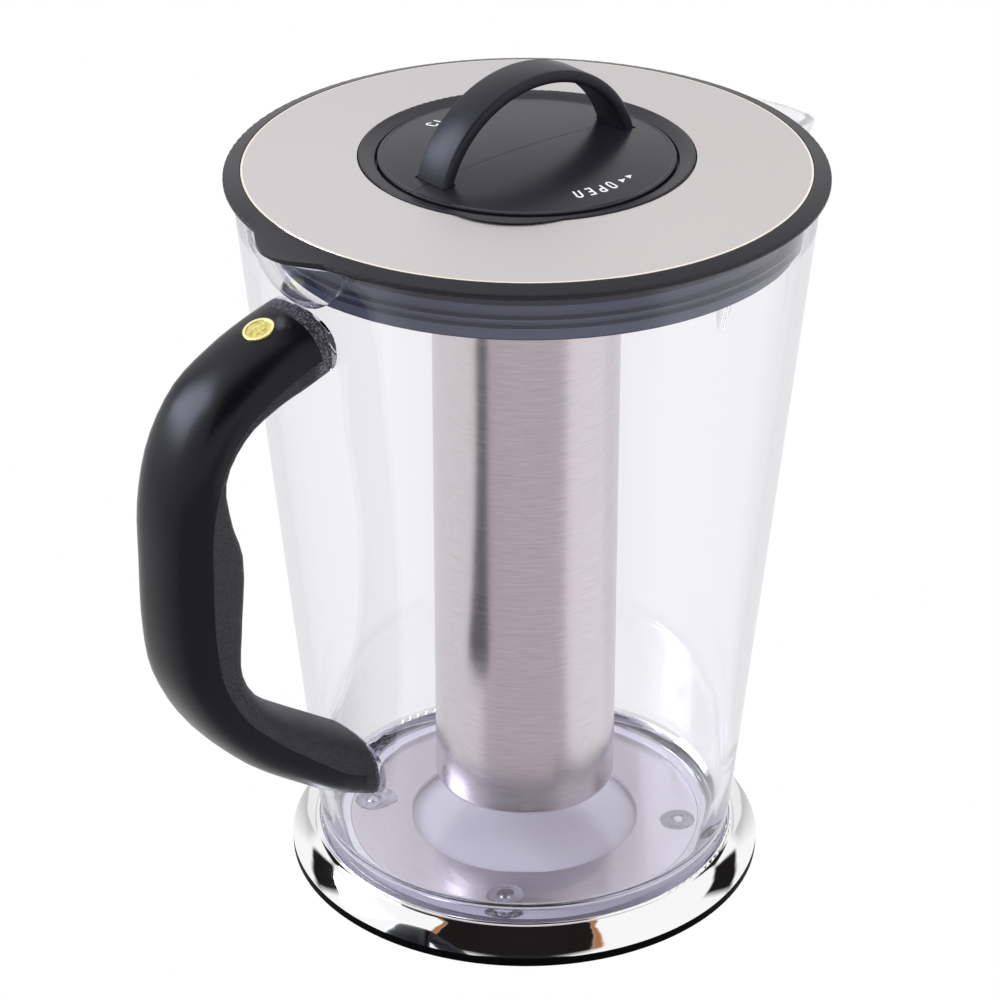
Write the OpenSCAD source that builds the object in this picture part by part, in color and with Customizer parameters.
// Clear pitcher with a lift-out ice core, built from separate pieces in one shared frame, in millimetres.
// The origin is on the jug's axis at table level, +Z is up and the handle is on the -X side.

/* [Jug] */
// Height of the jug's rim above the table
rim_height = 206.4; // [190:0.2:225]
// Outer radius of the wall at the rim
rim_radius = 77.6; // [74:0.2:82]
// Outer radius of the wall at its lower edge
bottom_radius = 57.8; // [55:0.2:61]
// Thickness of the jug's wall
jug_wall = 3; // [2.6:0.1:3.4]
// Thickness of the jug's floor
floor_thickness = 3.5; // [2.6:0.1:4.5]
// Height of the hollow under the floor, above the wall's lower edge
floor_lift = 3.1; // [3:0.1:4.6]
// Radius of the inside corner between wall and floor
floor_corner = 6; // [3:0.2:9]

/* [Spout] */
// Turn of the spout away from the line opposite the handle, in degrees
spout_turn = -4; // [-12:1:12]
// Reach of the lip's tip beyond the rim
spout_reach = 18.4; // [14:0.2:22]
// Half of the spout wedge's width at its back, inside the wall
spout_half_width = 19; // [16:0.5:22]
// Height from the rim down to the foot of the spout's crease
spout_length = 65.4; // [50:0.2:85]
// Drop of the lip from the rim to its tip
spout_drop = 6; // [3:0.2:8]

/* [Rear lug] */
// Reach of the bulge under the thumb tab beyond the rim
lug_reach = 6.4; // [4.5:0.1:7.5]
// Radius of the bulge
lug_radius = 23.7; // [20:0.1:26]
// Wall thickness of the bulge
lug_wall = 2.4; // [2:0.1:3]

/* [Base] */
// Outer radius of the black foot band
foot_radius = 66.8; // [64.5:0.1:70]
// Height of the foot band
foot_height = 2.8; // [2.4:0.1:3.6]
// Radial width of the foot band
foot_width = 6.4; // [4:0.1:7]
// Sheet thickness of the bright base ring
ring_sheet = 0.8; // [0.6:0.1:1]
// Height of the bright base ring above the foot band
ring_rise = 5.9; // [5:0.1:8]
// Inner radius of the steel ring under the floor
disc_inner_radius = 32.6; // [28:0.2:34]
// Outer radius of the steel ring under the floor
disc_outer_radius = 50.5; // [50:0.1:51.2]
// Thickness of the steel ring under the floor
disc_thickness = 1; // [0.8:0.1:1.2]
// Radius of the circle that the four clear bosses stand on
boss_circle = 44.5; // [43.5:0.1:45]
// Radius of each clear boss
boss_radius = 5; // [4.4:0.1:5.2]
// Turn of the first boss away from the handle's opposite side, in degrees
boss_turn = 43; // [30:1:60]
// Thickness of the base plate
plate_thickness = 1.6; // [1.4:0.1:1.8]

/* [Handle] */
// Reach of the handle beyond the jug's wall
handle_depth = 54; // [48:0.5:60]
// Height from the handle's foot to its crest
handle_height = 151; // [140:0.5:156]
// Height of the handle's foot above the table
handle_foot = 41; // [38:0.5:46]
// Half of the handle's width
handle_half_width = 13.5; // [12:0.1:15]
// Depth of the outer shell, from its back to the seam
shell_depth = 9.4; // [8.8:0.1:9.8]
// Depth of shell and grip that covers the inner frame
core_cover = 4.5; // [4.2:0.1:4.8]
// Half of the inner frame's width
core_half_width = 5.5; // [5:0.1:6]
// Radius of the medallion on the crest
badge_radius = 4.2; // [3.6:0.1:5.6]
// Height of the medallion above the crest
badge_rise = 0.3; // [0.2:0.1:0.9]

/* [Lid] */
// Overhang of the lid beyond the rim
lid_overhang = 2.1; // [1.2:0.1:3]
// Width of the black ring round the steel plate
lid_ring_width = 4.7; // [4:0.1:5.4]
// Height of the lid's edge
lid_edge = 1.6; // [1.3:0.1:2]
// Height of the steel plate's outer edge above the rim
plate_edge_rise = 2.8; // [2.5:0.1:3.2]
// Height of the steel plate's inner edge above the rim
lid_rise = 5.6; // [5.2:0.1:6.4]
// Sheet thickness of the steel plate
lid_sheet = 0.8; // [0.6:0.1:1]
// Reach of the thumb tab beyond the lid's edge
tab_reach = 4.9; // [3:0.1:6]
// Half of the thumb tab's width at its root
tab_half_width = 18; // [16:0.5:22]
// Depth of the liner under the rim
neck_depth = 13.8; // [13:0.1:16]
// Wall thickness of the liner
neck_wall = 2; // [1.8:0.1:2.4]
// Height of the seal
seal_height = 9; // [8:0.1:9.6]
// Reach of the seal's fins beyond its band
fin_reach = 1.2; // [0.8:0.1:1.4]
// Thickness of each fin
fin_thickness = 0.8; // [0.6:0.1:1]

/* [Ice core] */
// Outer radius of the ice core's tube
core_radius = 25.4; // [23:0.1:27]
// Sheet thickness of the tube
core_sheet = 0.8; // [0.6:0.1:1]
// Space between the tube's bottom and the jug's floor
core_floor_gap = 12.2; // [6:0.2:30]
// Radius of the tube's bottom edge
core_corner = 2.4; // [1.6:0.1:6]
// Depth from the rim to the tube's top edge
core_top_depth = 22; // [21:0.2:28]
// Width of the black ring round the cap
collar_ring_width = 4.3; // [3.8:0.1:5]
// Wall thickness of the collar
collar_wall = 3.5; // [3.2:0.1:3.6]
// Reach of the crescent lip beyond the collar's ring
crescent_reach = 2.2; // [1.4:0.1:3]

/* [Cap] */
// Radius of the cap
cap_radius = 39.2; // [38:0.1:40.4]
// Gap between the cap and the ring round it
cap_gap = 0.7; // [0.5:0.1:0.9]
// Height of the cap's crown above its edge
cap_crown = 2.4; // [1.6:0.1:3.2]
// Thickness of the cap at its edge
cap_edge = 1.4; // [1.2:0.1:1.8]
// Thickness of the flat seal under the cap
cap_seal = 1.5; // [1.2:0.1:1.8]
// Depth of the cap's skirt below its seal
skirt_depth = 9; // [8:0.1:9.8]
// Turn of the cap from closed to open, in degrees
cap_turn = 45; // [30:1:60]
// Half span of the arch handle at its springing line
arch_half_span = 33.6; // [31:0.1:35]
// Height of the arch's top above its springing line
arch_height = 30.4; // [26:0.1:36]
// Height of the arch's top above the rim
arch_rise = 29.2; // [26:0.1:34]
// Width of the arch's strap
strap_width = 11.6; // [9:0.1:14]
// Thickness of the arch's strap
strap_thickness = 3.4; // [3:0.1:4]

/* [Fits] */
// Gap between surfaces that slide past each other
slide_gap = 0.3; // [0.2:0.05:0.4]
// Gap between fixed pieces that fit into each other
fit_gap = 0.1; // [0.05:0.05:0.15]

/* [Show] */
// Piece to show

/* [Hidden] */
$fn = 96;

// Length by which a cutting shape runs past the surface it cuts
overrun = 2;
// Widest and tallest reach of the whole part, for cutting slabs
far = 2 * (rim_radius + handle_depth);

// Turns of the four bosses and of the screws and holes that go with them
boss_turns = [for (i = [0:3]) boss_turn + i * 90];

// Heights of the base, from the table up
skirt_z = foot_height + ring_sheet;
floor_z = skirt_z + floor_lift;
floor_top = floor_z + floor_thickness;
disc_top = floor_z - slide_gap;
disc_z = disc_top - disc_thickness;
plate_drop = 1.2;
plate_top = disc_z - plate_drop;
plate_z = plate_top - plate_thickness;
flange_z = foot_height - plate_thickness;

// Heights of the lid
edge_z = rim_height + lid_edge;
plate_edge_z = rim_height + plate_edge_rise;
lid_z = rim_height + lid_rise;
ring_flange = 1.8;
ledge_z = lid_z - ring_flange;
seat_step = 3.2;
seat_z = lid_z - seat_step;
cap_z = seat_z + cap_seal;
cap_edge_z = cap_z + cap_edge;
neck_z = rim_height - neck_depth;

// Outer radius of the jug's wall at a height, and the tilt of that wall
wall_slope = (rim_radius - bottom_radius) / (rim_height - skirt_z);
wall_tilt = atan(wall_slope);
function wall_r(z) = bottom_radius + (z - skirt_z) * wall_slope;
function inner_r(z) = wall_r(z) - jug_wall;

// Radii of the lid and the collar, from the cap outwards
recess_r = cap_radius + cap_gap;
ring_r = recess_r + collar_ring_width;
plate_inner_r = ring_r + slide_gap;
seat_width = 2.7;
bore_r = recess_r - seat_width;
collar_r = bore_r + collar_wall;
sleeve_r = collar_r + slide_gap;
lid_r = rim_radius + lid_overhang;
plate_r = lid_r - lid_ring_width;
skin = 2;

// A smooth curve through a list of points; whole steps of t land on the points
function through(p, t) =
    let (last = len(p) - 1, i = min(floor(t), last - 1), f = t - i,
        a = p[max(i - 1, 0)], b = p[i], c = p[i + 1], d = p[min(i + 2, last)])
    b + (c - a) * f / 2 + (2 * a - 5 * b + 4 * c - d) * f * f / 2
        + (3 * b - a - 3 * c + d) * f * f * f / 2;

// One solid through a run of rings with equal counts of points. Each end is closed by strips that
// join the first half of its ring to the second half.
module ring_run(rings) {
    n = len(rings[0]);
    last = len(rings) - 1;
    start = last * n;
    sides = [for (i = [0:last - 1]) for (k = [0:n - 1])
        let (a = i * n + k, b = i * n + (k + 1) % n)
        each [[a, b + n, b], [a, a + n, b + n]]];
    low = [for (k = [0:n / 2 - 2]) [k, k + 1, n - 2 - k, n - 1 - k]];
    high = [for (k = [0:n / 2 - 2])
        [start + k, start + n - 1 - k, start + n - 2 - k, start + k + 1]];
    polyhedron([for (r = rings) each r], concat(sides, low, high));
}

// A screw that points up from the underside of its head
module screw(shank_r, head_r, length, head_height) {
    slot_share = 0.3;
    difference() {
        translate([0, 0, -head_height]) cylinder(r = head_r, h = head_height);
        for (turn = [0, 90])
            rotate([0, 0, turn])
                translate([-head_r * slot_share * 2, -head_r * slot_share / 2, -head_height - overrun])
                    cube([head_r * slot_share * 4, head_r * slot_share, overrun + head_height / 2]);
    }
    tip = shank_r / 2;
    cylinder(r = shank_r, h = length - tip);
    translate([0, 0, length - tip]) cylinder(r1 = shank_r, r2 = shank_r - tip, h = tip);
}

// The spout: a wedge with a rounded front whose edges all meet at the foot of the crease.
// Each share pair is reach and half width, from the wall out to the lip's tip.
spout_shares = [[0, 1], [0.32, 0.83], [0.48, 0.72], [0.7, 0.56], [0.85, 0.41], [0.94, 0.27],
    [0.985, 0.14], [1, 0]];
crease_z = rim_height - spout_length;
tip_z = rim_height - spout_drop;
tip_r = rim_radius + spout_reach;
// The wedge starts this far below the crease's foot, inside the wall
spout_root = 5;
root_z = crease_z - spout_root;
crease_slope = (tip_r - wall_r(crease_z)) / (tip_z - crease_z);
root_r = wall_r(crease_z) - spout_root * crease_slope;

module spout_wedge(inset, top_z) {
    reach = tip_r - root_r;
    half = spout_half_width - inset;
    grow = (top_z - root_z) / (tip_z - root_z);
    steps = 3;
    last = (len(spout_shares) - 1) * steps;
    side = [for (i = [0:last]) through(spout_shares, i / steps)];
    edge = concat([for (i = [0:last]) [side[i][0] * reach, side[i][1] * half]],
        [for (i = [1:last]) [side[last - i][0] * reach, -side[last - i][1] * half]]);
    n = len(edge);
    points = concat([[root_r - inset, 0, root_z]],
        [for (p = edge) [root_r - inset + p[0] * grow, p[1] * grow, top_z]]);
    faces = concat([for (i = [1:n]) [0, i % n + 1, i]], [[for (i = [1:n]) i]]);
    polyhedron(points, faces);
}

// The rear lug: part of a sphere under the thumb tab
lug_centre_rise = 2.6;
lug_centre_r = rim_radius + lug_reach - sqrt(pow(lug_radius, 2) - pow(lug_centre_rise, 2));

module lug_ball(inset) {
    translate([-lug_centre_r, 0, rim_height + lug_centre_rise]) sphere(r = lug_radius - inset);
}

// The handle's outer and inner lines, from the upper end to the lower one. Each share pair is
// distance from the jug's wall and height above the handle's foot.
outer_shares = [[-0.04, 1], [0.184, 0.979], [0.405, 0.947], [0.64, 0.895], [0.827, 0.806],
    [0.946, 0.703], [0.996, 0.589], [1.026, 0.47], [1.007, 0.37], [0.891, 0.266], [0.677, 0.168],
    [0.432, 0.095], [0.203, 0.038], [-0.025, 0.001]];
inner_shares = [[-0.027, 0.88], [0.112, 0.863], [0.287, 0.846], [0.475, 0.815], [0.612, 0.753],
    [0.595, 0.667], [0.551, 0.589], [0.611, 0.47], [0.653, 0.377], [0.575, 0.305], [0.445, 0.251],
    [0.308, 0.212], [0.166, 0.175], [-0.026, 0.124]];
// Where the upper boss and collar end, then where the lower collar and boss start, as shares of the way
// from the handle's upper end to its lower one; a place on these lines is counted in whole points
upper_boss_share = 0.023;
upper_collar_share = 0.045;
lower_collar_share = 0.956;
lower_boss_share = 0.9815;
handle_end = len(outer_shares) - 1;
upper_boss_t = upper_boss_share * handle_end;
upper_collar_t = upper_collar_share * handle_end;
lower_collar_t = lower_collar_share * handle_end;
lower_boss_t = lower_boss_share * handle_end;
// A short step along the handle, as a share of the way between two points
step_share = 0.1;

function on_wall(p) =
    let (z = handle_foot + p[1] * handle_height)
    [-(wall_r(z) + p[0] * handle_depth), z];
function back(t) = on_wall(through(outer_shares, t));
function front(t) = on_wall(through(inner_shares, t));
function thick(t) = norm(back(t) - front(t));
// Point of the handle's cross-section: h runs from -1 on the inner line to 1 on the outer line
function section_point(t, h, y) =
    let (p = (back(t) + front(t)) / 2 + (back(t) - front(t)) * h / 2)
    [p[0], y, p[1]];
// Depth below the outer line, as a value of h
function depth_h(t, depth) = 1 - 2 * depth / thick(t);
// Depth beyond the inner line, as a value of h
function cover_h(t, depth) = 2 * depth / thick(t) - 1;
// The outline is a superellipse, flatter than an ellipse at its crest and sides
roundness = 2.5;
function bent(v) = sign(v) * pow(abs(v), 2 / roundness);
function outline_point(t, turn) =
    section_point(t, bent(cos(turn)), bent(sin(turn)) * handle_half_width);

function span(from, to, count) = [for (i = [0:count]) from + (to - from) * i / count];

// Full cross-section as a ring of points
section_count = 28;
function full_ring(t) =
    [for (k = [0:section_count - 1]) outline_point(t, (k + 1 / 2) * 360 / section_count)];

// Half of the handle on one side of the seam, as a channel round the inner frame
strip_count = 16;
side_steps = 3;
function seam_turn(t) =
    let (h = depth_h(t, shell_depth))
    acos(sign(h) * pow(abs(h), roundness / 2));
function channel_wall(t, half, seam_h, deep_h) = concat(
    [for (k = [0:side_steps - 1]) section_point(t, seam_h + (deep_h - seam_h) * k / side_steps, -half)],
    [for (k = [0:strip_count - 2 * side_steps])
        section_point(t, deep_h, half * (2 * k / (strip_count - 2 * side_steps) - 1))],
    [for (k = [1:side_steps])
        section_point(t, deep_h + (seam_h - deep_h) * k / side_steps, half)]);
function reversed(list) = [for (i = [1:len(list)]) list[len(list) - i]];
function shell_ring(t) =
    let (turn = seam_turn(t), h = depth_h(t, shell_depth),
        deep = depth_h(t, core_cover - slide_gap))
    concat([for (k = [0:strip_count]) outline_point(t, turn * (2 * k / strip_count - 1))],
        reversed(channel_wall(t, core_half_width + slide_gap, h, deep)));
// What the grip leaves free for the shell: everything from the seam outwards
function above_seam_ring(t) =
    let (seam = depth_h(t, shell_depth + fit_gap), past = depth_h(t, -overrun),
        half = handle_half_width + overrun)
    [section_point(t, past, half), section_point(t, seam, half),
        section_point(t, seam, -half), section_point(t, past, -half)];
// Rectangular cross-section of the inner frame, grown all round by a gap
function core_ring(t, gap) =
    let (outer = depth_h(t, core_cover - gap), inner = cover_h(t, core_cover - gap),
        half = core_half_width + gap)
    [section_point(t, outer, half), section_point(t, inner, half),
        section_point(t, inner, -half), section_point(t, outer, -half)];

core_steps = 44;
main_steps = 40;

// The two ends of the inner frame, each with the short step that leads away from the jug
frame_ends = [[upper_boss_t, step_share], [lower_boss_t, -step_share]];

// Places a child at one end with +Z along the handle's middle line, pointing away from the jug
function centre_at(t) = (back(t) + front(t)) / 2;
module at_end(end) {
    here = centre_at(end[0]);
    ahead = centre_at(end[0] + end[1]) - here;
    translate([here[0], 0, here[1]]) rotate([0, atan2(ahead[0], ahead[1]), 0]) children();
}

stub_radius = 2.9;
stub_length = 7;
handle_screw_radius = 1.25;
handle_screw_head = 2.5;
handle_screw_length = 9;
access_radius = 2.8;
access_length = 60;
screw_head_height = 1.8;

module jug_body() {
    corner_z = floor_top + floor_corner;
    corner_r = inner_r(corner_z) - floor_corner / cos(wall_tilt);
    lip_tilt = atan(spout_drop / spout_reach);
    above_rim = rim_height + overrun;
    boss_steps = 3;
    color([0.9, 0.9, 0.93, 0.35])
    difference() {
        union() {
            difference() {
                union() {
                    rotate_extrude() polygon([[0, skirt_z], [bottom_radius, skirt_z],
                        [wall_r(above_rim), above_rim], [0, above_rim]]);
                    rotate([0, 0, spout_turn]) spout_wedge(0, above_rim);
                    lug_ball(0);
                    ring_run([for (t = span(0, upper_boss_t, boss_steps)) full_ring(t)]);
                    ring_run([for (t = span(lower_boss_t, handle_end, boss_steps)) full_ring(t)]);
                }
                // The level rim
                translate([-far / 2, -far / 2, rim_height]) cube([far, far, far]);
                // The inside, with a rounded corner at the floor
                rotate_extrude() {
                    polygon([[0, floor_top], [corner_r, floor_top],
                        [corner_r + floor_corner * cos(wall_tilt), corner_z - floor_corner * sin(wall_tilt)],
                        [inner_r(above_rim), above_rim], [0, above_rim]]);
                    translate([corner_r, corner_z]) circle(r = floor_corner);
                }
                // The hollow under the floor
                rotate_extrude() polygon([[0, skirt_z - overrun], [inner_r(skirt_z - overrun), skirt_z - overrun],
                    [inner_r(floor_z), floor_z], [0, floor_z]]);
                rotate([0, 0, spout_turn]) spout_wedge(jug_wall, above_rim);
                rotate([0, 0, spout_turn]) translate([rim_radius + slide_gap, -far / 2, rim_height])
                    rotate([0, lip_tilt, 0]) translate([-overrun, 0, 0]) cube([far, far, far]);
                lug_ball(lug_wall);
            }
            for (turn = boss_turns)
                rotate([0, 0, turn]) translate([boss_circle, 0, plate_top])
                    cylinder(r = boss_radius, h = floor_z - plate_top + overrun / 2);
            // A stub on each handle boss, rooted inside the wall
            for (end = frame_ends)
                at_end(end) translate([0, 0, -overrun]) cylinder(r = stub_radius, h = stub_length + overrun);
        }
        for (turn = boss_turns)
            rotate([0, 0, turn]) translate([boss_circle, 0, plate_top - overrun])
                cylinder(r = base_screw_radius + fit_gap / 2, h = base_hole + overrun);
        for (end = frame_ends)
            at_end(end) translate([0, 0, stub_length + screw_seat - handle_screw_length - slide_gap])
                cylinder(r = handle_screw_radius + fit_gap / 2, h = handle_screw_length + overrun);
    }
}

base_screw_radius = 2.4;
base_screw_head = 4;
base_screw_length = 5;
base_hole = 3.6;

module floor_disc() {
    color([0.62, 0.6, 0.65])
    translate([0, 0, disc_z])
    difference() {
        cylinder(r = disc_outer_radius, h = disc_thickness);
        translate([0, 0, -overrun]) cylinder(r = disc_inner_radius, h = disc_thickness + 2 * overrun);
        for (turn = boss_turns)
            rotate([0, 0, turn]) translate([boss_circle, 0, -overrun])
                cylinder(r = boss_radius + slide_gap, h = disc_thickness + 2 * overrun);
    }
}

plate_rim_r = inner_r(skirt_z) - slide_gap;
plate_flange_r = foot_radius - foot_width - slide_gap;
rib_play = 4.4;
rib_radius = disc_inner_radius + rib_play;

module base_plate() {
    color([0.88, 0.87, 0.92])
    difference() {
        union() {
            translate([0, 0, flange_z]) cylinder(r = plate_flange_r, h = plate_thickness);
            // A pale rim round the steel ring, seen through the jug's skirt
            difference() {
                translate([0, 0, flange_z]) cylinder(r = plate_rim_r, h = disc_top - flange_z);
                translate([0, 0, plate_top])
                    cylinder(r = disc_outer_radius + slide_gap, h = disc_top - plate_top + overrun);
            }
            // A rib that carries the steel ring
            difference() {
                translate([0, 0, plate_z]) cylinder(r = rib_radius, h = disc_z - plate_z);
                translate([0, 0, plate_top])
                    cylinder(r = rib_radius - plate_thickness, h = disc_z - plate_top + overrun);
            }
        }
        translate([0, 0, flange_z - overrun])
            cylinder(r = plate_rim_r - plate_thickness, h = plate_z - flange_z + overrun);
        for (turn = boss_turns)
            rotate([0, 0, turn]) translate([boss_circle, 0, flange_z])
                cylinder(r = base_screw_radius + fit_gap, h = plate_top);
    }
}

module base_ring() {
    top_z = foot_height + ring_rise;
    top_r = wall_r(top_z) + slide_gap + ring_sheet;
    bead = 0.56;
    fold = 0.2;
    flange_inner_r = bottom_radius + ring_sheet * 2;
    flange_r = plate_rim_r + slide_gap;
    // Flare of the ring: shares of its width and of its height, from the foot up
    flare_shares = [[1, 0], [0.8, 0.14], [0.52, 0.38], [0.28, 0.66], [0.12, 0.9], [0, 1]];
    steps = 3;
    last = (len(flare_shares) - 1) * steps;
    width = foot_radius - top_r;
    flare = [for (i = [0:last]) let (s = through(flare_shares, i / steps))
        [top_r + s[0] * width, foot_height + s[1] * ring_rise]];
    color([0.9, 0.9, 0.92])
    rotate_extrude() {
        polygon(concat([[flange_r, foot_height]], flare,
            [for (i = [0:last]) let (p = flare[last - i]) if (p[1] > skirt_z + fold)
                [p[0] - ring_sheet, p[1]]],
            [[flange_inner_r, skirt_z], [flange_r, skirt_z]]));
        translate([top_r - ring_sheet + bead + fit_gap, top_z]) circle(r = bead);
    }
}

module foot_ring() {
    edge = 0.4;
    inner = foot_radius - foot_width;
    color([0.09, 0.09, 0.1])
    rotate_extrude() polygon([[inner, 0], [foot_radius - edge, 0], [foot_radius, edge],
        [foot_radius, foot_height], [inner, foot_height]]);
}

module base_screws() {
    color([0.75, 0.75, 0.77])
    for (turn = boss_turns)
        rotate([0, 0, turn]) translate([boss_circle, 0, plate_z])
            screw(base_screw_radius, base_screw_head, base_screw_length, screw_head_height);
}

module handle_core() {
    color([0.16, 0.16, 0.17])
    difference() {
        ring_run([for (t = span(upper_boss_t, lower_boss_t, core_steps)) core_ring(t, 0)]);
        for (end = frame_ends)
            at_end(end) {
                translate([0, 0, -overrun]) cylinder(r = stub_radius + fit_gap, h = stub_length + overrun);
                cylinder(r = handle_screw_radius + fit_gap, h = stub_length + overrun);
                translate([0, 0, stub_length + screw_seat]) cylinder(r = access_radius, h = access_length);
            }
    }
}

screw_seat = 1.2;

module handle_shell() {
    color([0.1, 0.1, 0.11])
    difference() {
        ring_run([for (t = span(upper_collar_t, lower_collar_t, main_steps)) shell_ring(t)]);
        at_badge() translate([0, 0, -badge_sink]) cylinder(r = badge_radius + fit_gap, h = badge_sink * 4);
    }
}

module handle_grip() {
    color([0.2, 0.2, 0.21])
    difference() {
        ring_run([for (t = span(upper_boss_t, lower_boss_t, main_steps)) full_ring(t)]);
        ring_run([for (t = span(upper_collar_t, lower_collar_t, main_steps)) above_seam_ring(t)]);
        ring_run([for (t = span(upper_boss_t - step_share, lower_boss_t + step_share, core_steps))
            core_ring(t, slide_gap)]);
    }
}

module handle_screws() {
    color([0.75, 0.75, 0.77])
    for (end = frame_ends)
        at_end(end) translate([0, 0, stub_length + screw_seat]) rotate([180, 0, 0])
            screw(handle_screw_radius, handle_screw_head, handle_screw_length, screw_head_height);
}

badge_sink = 0.8;
// Place of the medallion, as a share of the way along the handle
badge_share = 0.093;
badge_t = badge_share * handle_end;

// Places a child on the handle's crest with +Z out of it
module at_badge() {
    p = back(badge_t);
    ahead = back(badge_t + step_share) - back(badge_t - step_share);
    translate([p[0], 0, p[1]]) rotate([0, atan2(ahead[0], ahead[1]) + 90, 0]) children();
}

module handle_badge() {
    border = 0.8;
    dish = 0.2;
    color([0.95, 0.93, 0.62])
    at_badge() translate([0, 0, -badge_sink])
    difference() {
        cylinder(r = badge_radius, h = badge_sink + badge_rise);
        translate([0, 0, badge_sink + badge_rise - dish]) cylinder(r = badge_radius - border, h = overrun);
    }
}

// The thumb tab's outline: shares of half width and of reach, from the middle to the root
tab_shares = [[0, 1], [0.17, 0.975], [0.38, 0.78], [0.58, 0.47], [0.77, 0.19], [0.9, 0.05], [1, 0]];

module tab_outline() {
    root = 1;
    steps = 3;
    last = (len(tab_shares) - 1) * steps;
    side = [for (i = [0:last]) let (s = through(tab_shares, i / steps),
        y = s[0] * tab_half_width, r = lid_r - root + s[1] * (tab_reach + root)) [-sqrt(r * r - y * y), y]];
    polygon(concat(side, [for (i = [0:last - 1]) [side[last - i][0], -side[last - i][1]]]));
}

module lid_cover() {
    bead = 0.6;
    lip = 0.5;
    tab_fall = 0.5;
    tab_sink = 0.03;
    groove = 0.2;
    cover_foot = rim_height - skin;
    color([0.13, 0.13, 0.14])
    union() {
        rotate_extrude() {
            polygon([[sleeve_r, cover_foot], [sleeve_r, ledge_z], [plate_inner_r, ledge_z],
                [plate_inner_r, lid_z - lid_sheet - fit_gap], [plate_r, plate_edge_z - lid_sheet - fit_gap],
                [plate_r + groove, plate_edge_z - lid_sheet - fit_gap], [plate_r + groove, plate_edge_z],
                [lid_r - bead, edge_z], [lid_r, edge_z - bead], [lid_r, rim_height + lip],
                [lid_r - lip, rim_height], [inner_r(rim_height) - skin * 2, rim_height],
                [plate_inner_r + skin, ledge_z - skin], [sleeve_r + skin, ledge_z - skin],
                [sleeve_r + skin, cover_foot]]);
            translate([lid_r - bead, edge_z - bead]) circle(r = bead);
        }
        intersection() {
            translate([0, 0, rim_height]) linear_extrude(height = lid_edge) tab_outline();
            rotate_extrude() polygon([[lid_r - lid_ring_width / 2, rim_height],
                [lid_r + tab_reach * 2, rim_height], [lid_r + tab_reach * 2, edge_z - tab_fall * 2],
                [lid_r - bead, edge_z - tab_sink], [lid_r - lid_ring_width / 2, edge_z - groove]]);
        }
    }
}

module lid_plate() {
    color([0.82, 0.81, 0.8])
    rotate_extrude() polygon([[plate_inner_r, lid_z - lid_sheet], [plate_r, plate_edge_z - lid_sheet],
        [plate_r, plate_edge_z], [plate_inner_r, lid_z]]);
}

// Radii and heights that the liner and its seal share
fin_step = 3.1;
fin_pitch = 2.5;
seal_z = neck_z + neck_wall / 4;
seal_top = seal_z + seal_height;
fin_z = seal_z + fin_step;
band_r = inner_r(neck_z) - slide_gap - fin_reach;
band_depth = 1.1;

module lid_neck() {
    outer = band_r - band_depth;
    foot_r = band_r - neck_wall / 4;
    inner = sleeve_r + skin;
    color([0.14, 0.14, 0.17])
    rotate_extrude() polygon([[sleeve_r, neck_z], [foot_r, neck_z], [foot_r, seal_z],
        [outer, seal_z], [outer, seal_top], [band_r, seal_top], [band_r, rim_height],
        [outer - neck_wall, rim_height], [outer - neck_wall, neck_z + neck_wall],
        [inner, neck_z + neck_wall], [inner, rim_height - skin], [sleeve_r, rim_height - skin]]);
}

module lid_seal() {
    inner = band_r - band_depth;
    color([0.4, 0.45, 0.52])
    rotate_extrude() {
        translate([inner, seal_z]) square([band_depth, seal_height]);
        for (i = [0, 1])
            let (z = fin_z + i * fin_pitch, tip = inner_r(z) - slide_gap)
            polygon([[band_r - band_depth / 2, z - fin_thickness / 2], [tip, z],
                [tip, z + fin_thickness / 2], [band_r - band_depth / 2, z + fin_thickness]]);
    }
}

tube_top = rim_height - core_top_depth;
tube_stop = 1;
tube_socket = 12;
funnel_rise = 2;
funnel_z = neck_z + funnel_rise;

module core_collar() {
    bead = 0.4;
    dip = 0.7;
    socket_wall = 2.45;
    funnel_r = core_radius + fit_gap + socket_wall;
    crescent_turn = -137;
    crescent_r = 24;
    lip_gap = 0.05;
    color([0.12, 0.12, 0.13])
    difference() {
        union() {
            rotate_extrude() {
                polygon([[recess_r, lid_z - dip], [recess_r, seat_z], [bore_r, seat_z], [bore_r, funnel_z],
                    [core_radius - core_sheet * 2, tube_top + tube_stop], [core_radius - core_sheet * 2, tube_top],
                    [core_radius + fit_gap, tube_top], [core_radius + fit_gap, tube_top - tube_socket],
                    [funnel_r, tube_top - tube_socket], [funnel_r, tube_top], [collar_r, funnel_z - bead],
                    [collar_r, ledge_z], [ring_r, ledge_z], [ring_r, lid_z], [ring_r - bead, lid_z + bead]]);
                translate([ring_r - bead, lid_z]) circle(r = bead);
            }
            difference() {
                translate([0, 0, lid_z + lip_gap])
                    rotate([0, 0, crescent_turn])
                        translate([ring_r + crescent_reach - crescent_r, 0, 0])
                            cylinder(r = crescent_r, h = bead - lip_gap);
                cylinder(r = ring_r - bead * 2, h = far);
            }
        }
        // Ways for the cap's lugs, open upwards and wide enough for the whole turn
        for (turn = [0:120:240])
            rotate([0, 0, turn]) translate([0, 0, lug_z - slide_gap])
                sector(-lug_half_angle - lug_play, lug_half_angle + lug_play + cap_turn,
                    lug_tip_r + slide_gap, lid_z);
    }
}

// The cap's lugs
lug_half_angle = 8;
lug_play = 1.5;
lug_height = 2.4;
lug_reach_r = 1.9;
lug_lift = 1;
lug_z = seat_z - skirt_depth + lug_lift;
skirt_r = bore_r - slide_gap;
lug_tip_r = skirt_r + lug_reach_r;
skirt_wall = 2.4;

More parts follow.
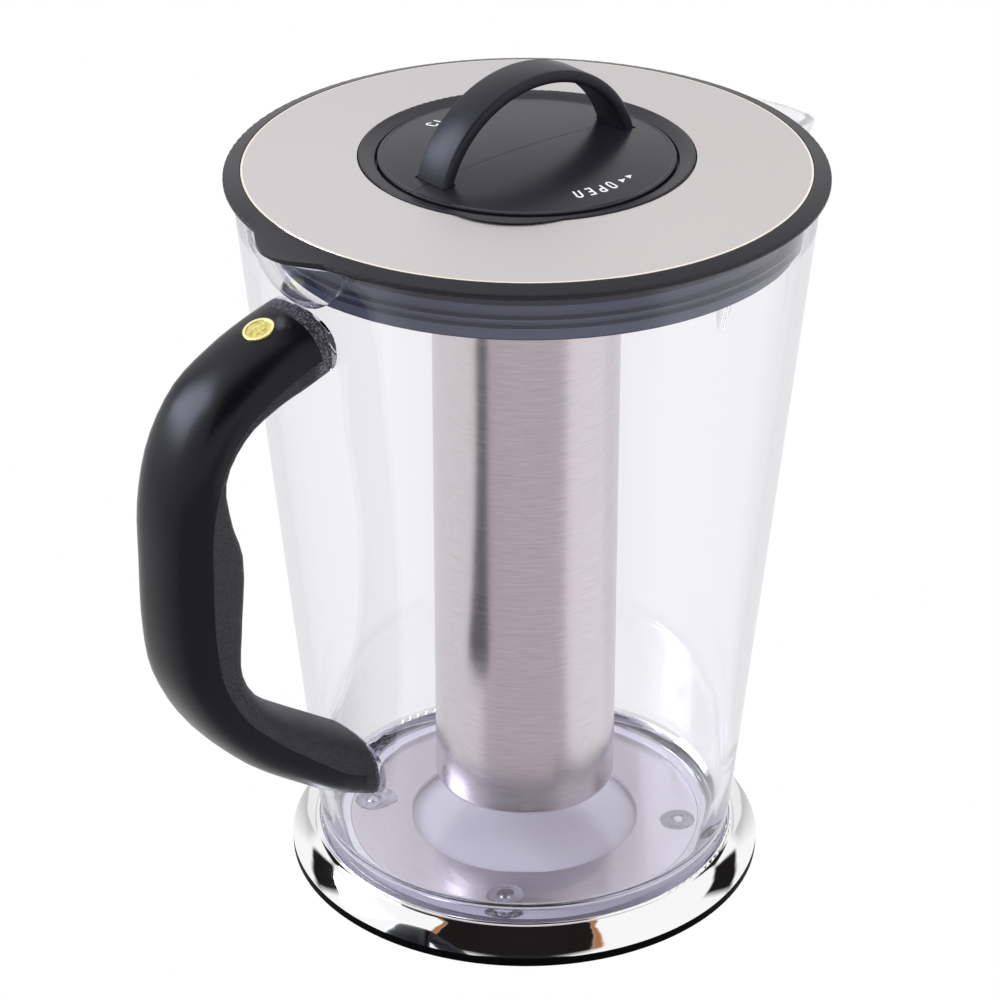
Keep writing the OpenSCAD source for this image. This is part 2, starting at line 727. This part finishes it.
// A pie piece from one angle to another, no wider than half a turn
module sector(from, to, r, h) {
    intersection() {
        cylinder(r = r, h = h);
        linear_extrude(height = h)
            polygon([[0, 0], [2 * r * cos(from), 2 * r * sin(from)],
                [2 * r * cos((from + to) / 2), 2 * r * sin((from + to) / 2)], [2 * r * cos(to), 2 * r * sin(to)]]);
    }
}

module core_tube() {
    bottom = floor_top + core_floor_gap;
    color([0.78, 0.77, 0.78])
    rotate_extrude() difference() {
        union() {
            translate([0, bottom + core_corner]) square([core_radius, tube_top - bottom - core_corner]);
            translate([0, bottom]) square([core_radius - core_corner, core_corner]);
            translate([core_radius - core_corner, bottom + core_corner]) circle(r = core_corner);
        }
        translate([0, bottom + core_corner])
            square([core_radius - core_sheet, tube_top - bottom]);
        translate([0, bottom + core_sheet]) square([core_radius - core_corner, core_corner]);
        translate([core_radius - core_corner, bottom + core_corner]) circle(r = core_corner - core_sheet);
        translate([-far, 0]) square([far, far]);
    }
}

module core_gasket() {
    gasket = 1.2;
    color([0.4, 0.45, 0.52])
    rotate_extrude() difference() {
        translate([collar_r + fit_gap, neck_z - gasket]) square([neck_wall * 2, gasket]);
        translate([0, -far]) square([collar_r + fit_gap, far]);
    }
}

module cap_gasket() {
    color([0.55, 0.58, 0.62])
    translate([0, 0, seat_z]) difference() {
        cylinder(r = cap_radius - slide_gap, h = cap_seal);
        translate([0, 0, -overrun]) cylinder(r = skirt_r + fit_gap, h = cap_seal + 2 * overrun);
    }
}

module cap_disc() {
    crown_sides = 256;
    ball_r = (pow(cap_radius, 2) + pow(cap_crown, 2)) / (2 * cap_crown);
    screw_hole = cap_screw_radius + fit_gap;
    color([0.12, 0.12, 0.13])
    difference() {
        intersection() {
            translate([0, 0, cap_z]) cylinder(r = cap_radius, h = cap_edge + cap_crown + overrun);
            translate([0, 0, cap_edge_z + cap_crown - ball_r]) sphere(r = ball_r, $fn = crown_sides);
        }
        for (side = [-1, 1]) {
            // A pocket for the strap's foot, with room inwards for its lean
            translate([side * (foot_x - foot_lean / 2), 0, pocket_z + far / 2])
                cube([strap_thickness + foot_lean + 2 * foot_play, strap_width + 2 * fit_gap, far], center = true);
            translate([side * screw_x, 0, cap_z - overrun]) cylinder(r = screw_hole, h = far);
        }
    }
}

// The arch handle: half an ellipse, with its feet let into the cap
pocket_share = 0.6;
pocket_z = cap_z + cap_edge * pocket_share;
spring_z = rim_height + arch_rise - arch_height;
strap_edge = 1;
foot_play = 0.15;
foot_lean = 0.5;
arch_mid_a = arch_half_span - strap_thickness / 2;
arch_mid_b = arch_height - strap_thickness / 2;
foot_turn = asin((pocket_z - spring_z) / arch_mid_b);
foot_x = arch_mid_a * cos(foot_turn);
// The screws stand a little inside the feet, because the strap leans inwards
screw_shift = 0.4;
screw_x = foot_x - screw_shift;
cap_screw_radius = 0.8;
cap_screw_head = 1.9;
cap_screw_length = 3.2;

// Cross-section of the strap with rounded edges, at an angle round the arch
function strap_corner(i, k) =
    let (sx = (i == 0 || i == 3) ? 1 : -1, sy = i < 2 ? 1 : -1, turn = i * 90 + k * 30)
    [sx * (strap_thickness / 2 - strap_edge) + strap_edge * cos(turn),
        sy * (strap_width / 2 - strap_edge) + strap_edge * sin(turn)];
function strap_ring(turn) =
    let (mid = [arch_mid_a * cos(turn), arch_mid_b * sin(turn)],
        out = [cos(turn) / arch_mid_a, sin(turn) / arch_mid_b], n = out / norm(out))
    [for (i = [0:3]) for (k = [0:3]) let (c = strap_corner(i, k))
        [mid[0] + n[0] * c[0], c[1], spring_z + mid[1] + n[1] * c[0]]];

module cap_handle() {
    buried_turn = 10;
    arch_steps = 48;
    half_circle = 180;
    start = foot_turn - buried_turn;
    color([0.11, 0.11, 0.12])
    difference() {
        ring_run([for (turn = span(start, half_circle - start, arch_steps)) strap_ring(turn)]);
        translate([-far / 2, -far / 2, pocket_z - far]) cube([far, far, far]);
        for (side = [-1, 1])
            translate([side * screw_x, 0, cap_z])
                cylinder(r = cap_screw_radius + fit_gap / 2, h = cap_screw_length + fit_gap);
    }
}

module cap_plug() {
    bottom = seat_z - skirt_depth;
    color([0.14, 0.14, 0.15]) {
        difference() {
            translate([0, 0, bottom]) cylinder(r = skirt_r, h = cap_z - bottom);
            translate([0, 0, bottom + skirt_wall]) cylinder(r = skirt_r - skirt_wall, h = far);
        }
        for (turn = [0:120:240])
            rotate([0, 0, turn]) translate([0, 0, lug_z]) difference() {
                sector(-lug_half_angle, lug_half_angle, lug_tip_r, lug_height);
                translate([0, 0, -overrun]) cylinder(r = skirt_r - skirt_wall / 2, h = far);
            }
    }
}

module cap_screws() {
    color([0.75, 0.75, 0.77])
    for (side = [-1, 1])
        translate([side * screw_x, 0, cap_z])
            screw(cap_screw_radius, cap_screw_head, cap_screw_length, screw_head_height);
}

jug_body();
floor_disc();
base_plate();
base_ring();
foot_ring();
base_screws();
handle_core();
handle_shell();
handle_grip();
handle_screws();
handle_badge();
lid_cover();
lid_plate();
lid_neck();
lid_seal();
core_collar();
core_tube();
core_gasket();
cap_gasket();
cap_disc();
cap_handle();
cap_plug();
cap_screws();
